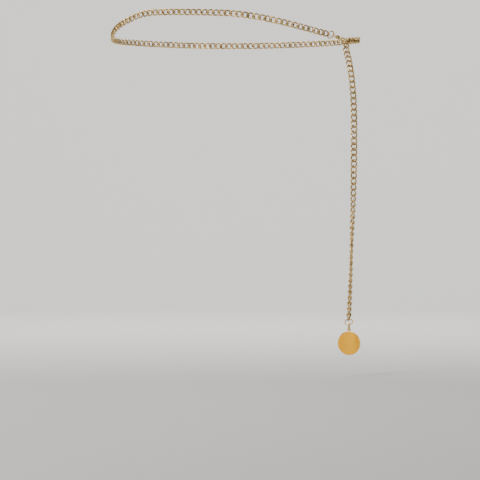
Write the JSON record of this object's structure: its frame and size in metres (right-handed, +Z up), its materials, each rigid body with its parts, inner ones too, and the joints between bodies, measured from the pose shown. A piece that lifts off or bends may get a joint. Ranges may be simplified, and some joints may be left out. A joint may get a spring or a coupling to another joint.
{
  "type": "waist chain",
  "caption": "Waist chain of twisted oval links, closed by a lobster clasp at one side, its free end hanging with a plain round disc.",
  "frame": {"origin": "middle of the waist loop at the height of its back, where the wearer's waist is", "axes": "+Z up along the wearer, the wearer's front at -Y, the hanging end at +X"},
  "size_m": [0.2722, 0.164, 0.3652],
  "materials": {
    "chain_gold": "polished, pale gold plated",
    "ring_gold": "polished, pale gold plated",
    "clasp_gold": "polished, pale gold plated",
    "rivet_gold": "polished, pale gold plated",
    "disc_gold": "satin face, polished bevel, gold plated"
  },
  "bodies": {
    "worn_chain": {"waist_chain": "chain_gold", "drop_chain": "chain_gold", "clasp_ring": "ring_gold", "clasp_body": "clasp_gold", "clasp_rivet": "rivet_gold", "drop_ring": "ring_gold"},
    "lever": {"clasp_lever": "clasp_gold"},
    "ring": {"disc_ring": "ring_gold"},
    "pendant": {"disc": "disc_gold"}
  },
  "joints": [
    {"name": "lever_opens", "type": "hinge", "parent": "worn_chain", "child": "lever", "pos_m": [0.11021, -0.04557, -0.00401], "axis": [0.009, 0.2932, 0.956], "range_deg": [0, 22], "stiffness_Nm_per_rad": 0.002, "springref_deg": -17.19},
    {"name": "ring_swings", "type": "hinge", "parent": "worn_chain", "child": "ring", "pos_m": [0.1199, -0.06794, -0.30927], "axis": [0.9781, -0.1444, 0.1496], "range_deg": [-50, 50]},
    {"name": "disc_swings", "type": "hinge", "parent": "ring", "child": "pendant", "pos_m": [0.1199, -0.06794, -0.31467], "axis": [0.1392, -0.9903, 0], "range_deg": [-50, 50]}
  ]
}
